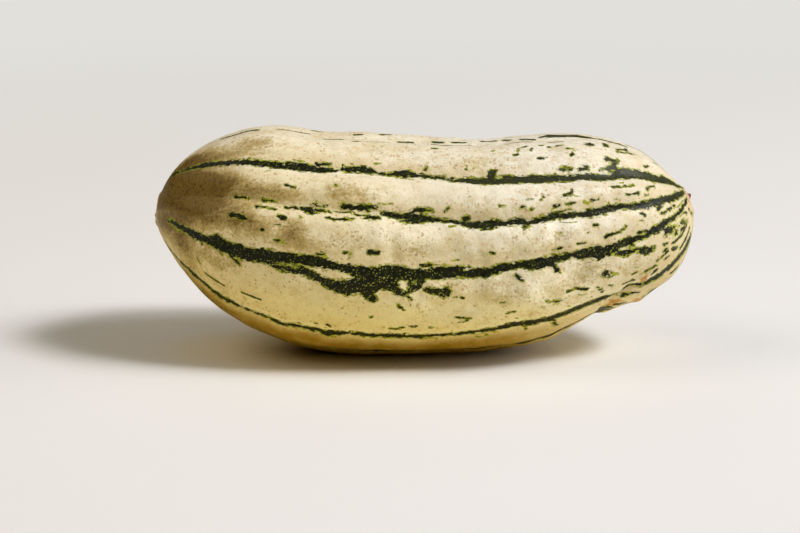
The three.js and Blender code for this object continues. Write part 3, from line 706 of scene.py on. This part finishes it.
def node(kind, inputs=(), **settings):
    """A shader node with its settings, and its sockets linked to other nodes' outputs or set to values."""
    new = tree.nodes.new("ShaderNode" + kind)
    for name, value in settings.items():
        setattr(new, name, value)
    for name, value in dict(inputs).items():
        if isinstance(value, bpy.types.NodeSocket):
            tree.links.new(value, new.inputs[name])
        else:
            new.inputs[name].default_value = value
    return new


def attribute(name):
    """A value kept on the mesh, blended between its points."""
    return node("Attribute", attribute_name=name).outputs["Fac"]


def math(operation, *values):
    """The operation on its values in order; MULTIPLY_ADD is the first times the second, plus the third."""
    return node("Math", dict(enumerate(values)), operation=operation).outputs[0]


def ramp(value, low, high, start=0.0, end=1.0):
    """start below low, end above high, and smooth between."""
    inputs = {"Value": value, "From Min": low, "From Max": high, "To Min": start, "To Max": end}
    return node("MapRange", inputs, interpolation_type="SMOOTHSTEP").outputs["Result"]


def blend(share, below, above):
    """below * (1 - share) + above * share, for two colours. They are the node's sockets 6 and 7."""
    mix = node("Mix", {0: share}, data_type="RGBA")
    for socket, colour in ((mix.inputs[6], below), (mix.inputs[7], above)):
        if isinstance(colour, bpy.types.NodeSocket):
            tree.links.new(colour, socket)
        else:
            socket.default_value = colour
    return mix.outputs[2]


place = node("TexCoord").outputs["Object"]


def stretched(x, y, z):
    """The place times (x, y, z), axis by axis. A number under 1 draws a pattern out along that axis."""
    return node("Mapping", {"Vector": place, "Scale": (x, y, z)}).outputs["Vector"]


def noise(vector, scale, detail=2.0, rough=0.5):
    """Soft noise around 0.5, with scale waves a metre. detail is how many finer layers are added, and rough
    is how strong each of them is against the one before."""
    inputs = {"Vector": vector, "Scale": scale, "Detail": detail, "Roughness": rough}
    return node("TexNoise", inputs).outputs["Fac"]


def cells(vector, scale, output="Color"):
    """One random colour for each cell around scattered points, or the distance to the nearest of them."""
    return node("TexVoronoi", {"Vector": vector, "Scale": scale}).outputs[output]


def ragged(edge, pattern, reach):
    """The edge, in mm, moved by (pattern - 0.5) times the reach."""
    return math("MULTIPLY_ADD", math("SUBTRACT", pattern, 0.5), reach, edge)


# The stripes' edges are bitten by cells and roughened by two noises.
lengthwise = stretched(0.55, 1, 1)
bite = node("SeparateColor", {"Color": cells(lengthwise, 1400)}).outputs["Red"]
edge = ragged(attribute("stripe"), bite, 0.7)
edge = ragged(edge, noise(lengthwise, 1000, 3, 0.65), 2.0)
edge = ragged(edge, noise(lengthwise, 380, 2), 0.8)

# Thin dashes are 0.27 mm to each side, less or more where a noise says so.
thin = math("SUBTRACT", 0.27, math("ABSOLUTE", attribute("thin_across")))
thin = ragged(thin, noise(place, 1100, 2), 0.25)
edge = math("MAXIMUM", edge, math("MULTIPLY", math("MINIMUM", thin, attribute("thin_near")), 2.0))

# Cream, warmer towards the stem, with a painted warm shade low down and a painted dull shade at the blossom
# end, and clouded with tan.
cream = blend(attribute("stemward"), paint(254, 250, 236), paint(244, 230, 190))
cream = blend(ramp(noise(place, 45, 3), 0.35, 0.68, 0, 0.30), cream, paint(238, 226, 182))
# The painted shade at the blossom end.
cream = blend(attribute("blossom_end_shade"), cream, paint(214, 200, 166))
# The painted warm shade low on the sides.
cream = blend(attribute("low_side_painted_shade"), cream, paint(220, 191, 108))
mottled = ramp(attribute("weathering_and_shade"), -1, 0)
tan = math("MULTIPLY", ramp(noise(stretched(0.6, 1, 1), 130, 4, 0.6), 0.46, 0.66, 0, 0.38), mottled)
cream = blend(tan, cream, paint(214, 190, 128))
tan = math("MULTIPLY", ramp(noise(stretched(0.8, 1, 1), 430, 3, 0.6), 0.48, 0.66, 0, 0.36), mottled)
cream = blend(tan, cream, paint(212, 186, 124))
cream = blend(ramp(noise(place, 1500, 2), 0.48, 0.72, 0, 0.30), cream, paint(204, 176, 114))

# A pale line of painted highlight follows some stripes, and a tan band of painted shade lies in the
# furrows.
# The pale line of painted highlight.
cream = blend(math("MULTIPLY", attribute("crest"), 0.3), cream, paint(255, 252, 238))
# The tan band of painted shade above the stripes.
painted_furrow_shade_share = ramp(noise(place, 260, 3), 0.25, 0.65, 0.25, 0.60)
cream = blend(math("MULTIPLY", attribute("painted_furrow_shade"), painted_furrow_shade_share), cream, paint(206, 182, 124))

# Freckles: small orange-brown spots in clusters, and finer ones between them.
speckled = math("ADD", ramp(noise(place, 95, 2), 0.42, 0.62), attribute("weathering_and_shade"))
speckled = math("MULTIPLY", speckled, attribute("aged"))
wobble = node("TexNoise", {"Vector": place, "Scale": 900}).outputs["Color"]
wobbly = node("MixRGB", {"Fac": 0.0015, "Color1": place, "Color2": wobble}).outputs["Color"]


def freckles(scale, radius, share, colour, strength):
    """The cream with round spots of that radius, in a share of cells that grows where it is speckled."""
    cell = node("TexVoronoi", {"Vector": wobbly, "Scale": scale})
    lot = node("SeparateColor", {"Color": cell.outputs["Color"]})
    lucky = ramp(math("MULTIPLY_ADD", speckled, 0.35, lot.outputs["Red"]), 1 - share, 1.03 - share)
    size = math("MULTIPLY_ADD", lot.outputs["Green"], radius, radius * 0.5)
    spot = ramp(math("DIVIDE", cell.outputs["Distance"], size), 0.6, 1.1, 1, 0)
    return blend(math("MULTIPLY", math("MULTIPLY", spot, lucky), strength), cream, colour)


cream = freckles(950, 0.32, 0.16, paint(172, 124, 48), 0.55)
cream = freckles(460, 0.22, 0.04, paint(164, 110, 40), 0.55)
cream = freckles(620, 0.29, 0.09, paint(186, 134, 56), 0.5)

# Weathering and painted shade in ragged patches, then the golden ground side with painted shade on it, the
# dark specks, darker inside the painted shade, and the fold's pale lip, a painted highlight.
patchy = math("MULTIPLY_ADD", noise(place, 1000, 3, 0.65), 0.5, noise(stretched(0.5, 1, 1), 180, 5, 0.7))
weathering_and_shade_here = math("MULTIPLY_ADD", math("SUBTRACT", patchy, 0.75), 1.5, attribute("weathering_and_shade"))
# Ragged patches of brown weathering and painted shade.
cream = blend(ramp(weathering_and_shade_here, 0.12, 0.55, 0, 0.75), cream, paint(182, 155, 82))
cream = blend(ramp(weathering_and_shade_here, 0.42, 1.0, 0, 0.95), cream, paint(120, 95, 38))
# The golden ground side with its painted shade.
ground_and_shade_share = ramp(noise(place, 240, 3), 0.30, 0.62, 0.80, 1.0)
cream = blend(math("MULTIPLY", attribute("ground_side_and_shade"), ground_and_shade_share), cream, paint(154, 119, 24))
dark_speck = math("MULTIPLY_ADD", attribute("weathering_and_shade"), 0.10, noise(place, 1150, 3, 0.6))
speck_colour = blend(attribute("weathering_and_shade"), paint(122, 86, 42), paint(66, 40, 16))
cream = blend(ramp(dark_speck, 0.66, 0.72, 0, 0.65), cream, speck_colour)
# The fold's pale lip, a painted highlight.
cream = blend(ramp(attribute("lip"), -0.25, 0.1, 0, 0.8), cream, paint(255, 250, 234))

# A lime fringe shows in patches along the stripes, and on the lime dashes.
lime_patch = ramp(noise(place, 300, 2), 0.38, 0.54, 0.35, 1)
lime = math("MULTIPLY", ramp(edge, -0.80, -0.30), lime_patch)
lime_edge = ragged(attribute("lime_mark"), noise(lengthwise, 1000, 3, 0.65), 2.0)
lime = math("MAXIMUM", lime, ramp(lime_edge, -0.15, 0.15))
lime_colour = blend(ramp(noise(place, 900), 0.4, 0.6), paint(172, 176, 52), paint(112, 120, 30))
skin_colour = blend(lime, cream, lime_colour)

# Dark green, paler on the upper sides under a painted sheen, with pale pinholes.
green = blend(ramp(noise(place, 600, 2), 0.4, 0.7), paint(16, 19, 5), paint(34, 38, 12))
spot = ramp(cells(place, 1250, "Distance"), 0.20, 0.36, 1, 0)
spot_here = math("MULTIPLY", spot, ramp(noise(place, 420), 0.42, 0.56, 0.2, 1))
spot_here = math("MULTIPLY", spot_here, math("MULTIPLY_ADD", attribute("splash"), 0.6, 0.32))
green = blend(attribute("painted_sheen"), green, paint(58, 62, 38))
green = blend(spot_here, green, paint(160, 166, 78))
skin_colour = blend(ramp(edge, -0.06, 0.08), skin_colour, green)

# Cork in the healed fold and on the two end scars, with a dark red nub where the flower was.
healed_edge = ragged(attribute("healed"), noise(lengthwise, 700, 3, 0.6), 3.0)
orange = blend(ramp(noise(place, 900, 3), 0.35, 0.7), paint(212, 156, 82), paint(176, 118, 52))
skin_colour = blend(ramp(healed_edge, -0.2, 0.5, 0, 0.9), skin_colour, orange)
cork_colour = blend(ramp(noise(place, 700, 4), 0.35, 0.7), paint(226, 196, 168), paint(186, 146, 112))
cork_colour = blend(attribute("nub"), cork_colour, paint(104, 48, 38))
skin_colour = blend(attribute("cork"), skin_colour, cork_colour)
tree.links.new(skin_colour, shader.inputs["Base Color"])

# Fine pores change the gloss. With broader dimples, they also make the skin look slightly uneven.
pores = noise(place, 1300, 3)
tree.links.new(ramp(pores, 0.3, 0.7, 0.38, 0.50), shader.inputs["Roughness"])
bump_height = math("MULTIPLY_ADD", noise(place, 350, 3), 2.0, pores)
bump = node("Bump", {"Strength": 0.3, "Distance": 0.0005, "Height": bump_height})
tree.links.new(bump.outputs["Normal"], shader.inputs["Normal"])
shader.inputs["Specular IOR Level"].default_value = 0.15
shader.inputs["Coat Weight"].default_value = 0.03
shader.inputs["Coat Roughness"].default_value = 0.3
squash.data.materials.append(finish)

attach(squash, "root")
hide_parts("delicata_squash")

# ---- The table ----
# A plain pale board, far wider than the fruit, its middle a touch brighter as a painted pool of light. Past
# its lit middle it fades to an even pale grey. Around the contact it is painted a darker gold, a painted
# shadow with the fruit's warm reflection in it, and what it throws back at the fruit is warm.
ground_material = bpy.data.materials.new("ground")
ground_material.use_nodes = True
tree = ground_material.node_tree
tree.nodes.clear()
path = node("LightPath")
far = node("Emission", {"Color": paint(226, 224, 219), "Strength": 1.0})


def distance_on_board(moved=(0, 0, 0), stretched_by=(1, 1, 1)):
    """The length, in metres, of the board's own coordinates once they are stretched and then moved."""
    inputs = {0: node("TexCoord").outputs["Object"], 1: stretched_by, 2: moved}
    coordinates = node("VectorMath", inputs, operation="MULTIPLY_ADD").outputs["Vector"]
    return node("VectorMath", {0: coordinates}, operation="LENGTH").outputs["Value"]


from_middle = distance_on_board()
from_fruit = distance_on_board(moved=(0.03, 0, 0))
from_contact = distance_on_board(moved=(0.03, 0, 0), stretched_by=(1, 2, 1))
thrown_colour = blend(ramp(from_fruit, 0.06, 0.14), (0.95, 0.85, 0.36, 1), (0.95, 0.93, 0.82, 1))
thrown = node("BsdfDiffuse", {"Color": thrown_colour})
# A little brighter in the middle: a painted pool of light.
board_with_painted_pool = blend(ramp(from_middle, 0.12, 0.27), (0.885, 0.884, 0.886, 1), (0.87, 0.865, 0.86, 1))
# Around the contact: a painted shadow, darker and golden with the fruit's reflection.
board = blend(ramp(from_contact, 0.02, 0.075), (0.86, 0.79, 0.54, 1), board_with_painted_pool)
lit = node("BsdfDiffuse", {"Color": board})
seen = node("MixShader", {0: ramp(from_middle, 0.25, 0.95), 1: lit.outputs[0], 2: far.outputs[0]})
surface = node("MixShader", {0: path.outputs["Is Camera Ray"], 1: thrown.outputs[0], 2: seen.outputs[0]})
tree.links.new(surface.outputs[0], node("OutputMaterial").inputs["Surface"])
reach = 6.0
ground_mesh = bpy.data.meshes.new("ground")
board_corners = [(-reach, -reach, 0), (reach, -reach, 0), (reach, reach, 0), (-reach, reach, 0)]
ground_mesh.from_pydata(board_corners, [], [(0, 1, 2, 3)])
ground = bpy.data.objects.new("ground", ground_mesh)
bpy.context.collection.objects.link(ground)
ground.data.materials.append(ground_material)

# ---- The light ----
# Three soft lamps stand close together, high on the right and a little in front, and one low on the right
# joins them. A warm one on the left lights the stem end. Four weak ones fill in from the back, the front
# and above.
from mathutils import Vector


def soft_lamp(name, towards, away, size, power, colour):
    """A round lamp that many metres from the origin in the direction given, facing the origin."""
    direction = Vector(towards).normalized()
    lamp = bpy.data.lights.new(name, "AREA")
    lamp.shape = "DISK"
    lamp.size = size
    lamp.energy = power
    lamp.color = colour
    holder = bpy.data.objects.new(name, lamp)
    holder.location = direction * away
    holder.rotation_euler = direction.to_track_quat("Z", "Y").to_euler()
    bpy.context.collection.objects.link(holder)


soft_lamp("key", (0.87, -0.12, 0.97), 4.0, 0.7, 25.5, (0.88, 0.92, 1.0))
soft_lamp("key_front", (0.76, -0.38, 1.0), 4.0, 0.8, 24, (1.0, 1.0, 1.0))
soft_lamp("key_low", (0.9, -0.34, 0.95), 4.0, 0.9, 80, (1.0, 0.97, 0.96))
soft_lamp("right_window", (1.0, -0.1, 0.35), 2.0, 1.2, 12, (1.0, 0.96, 0.95))
soft_lamp("left_wall", (-1.0, -0.15, 1.1), 2.0, 1.3, 9.5, (1.0, 0.87, 0.66))
soft_lamp("back_window", (-0.1, 1.0, 0.7), 2.0, 1.2, 2.2, (1.0, 0.99, 0.9))
soft_lamp("left_back", (-0.6, 0.7, 0.7), 2.0, 1.2, 1.5, (1.0, 0.88, 0.75))
soft_lamp("room_front", (-0.3, -1.0, 0.9), 2.0, 1.2, 2.2, (1.0, 0.88, 0.62))
soft_lamp("ceiling", (0.0, 0.1, 1.0), 1.6, 1.6, 1.0, (1.0, 0.96, 0.88))

# The room itself gives no light. It is seen as the same pale grey that the board fades to.
world = bpy.data.worlds.new("room")
bpy.context.scene.world = world
world.use_nodes = True
tree = world.node_tree
backdrop = tree.nodes["Background"]
seen_directly = node("LightPath").outputs["Is Camera Ray"]
backdrop_colour = blend(seen_directly, (0, 0, 0, 1), paint(226, 224, 219))
tree.links.new(backdrop_colour, backdrop.inputs["Color"])

# ---- The camera ----
# It looks straight at the best side, from 65 cm away and 14 degrees above, through a long lens. It aims a
# little left of the middle and below it.
elevation = np.radians(14)
distance = 0.653
target = Vector((-8.3 * MM, 0, 29.66 * MM))
camera_data = bpy.data.cameras.new("camera")
camera_data.lens = 85
camera_data.sensor_width = 36
camera = bpy.data.objects.new("camera", camera_data)
camera.location = target + Vector((0, -np.cos(elevation), np.sin(elevation))) * distance
camera.rotation_euler = (np.pi / 2 - elevation, 0, 0)
bpy.context.collection.objects.link(camera)
bpy.context.scene.camera = camera
bpy.context.scene.view_settings.view_transform = "Standard"
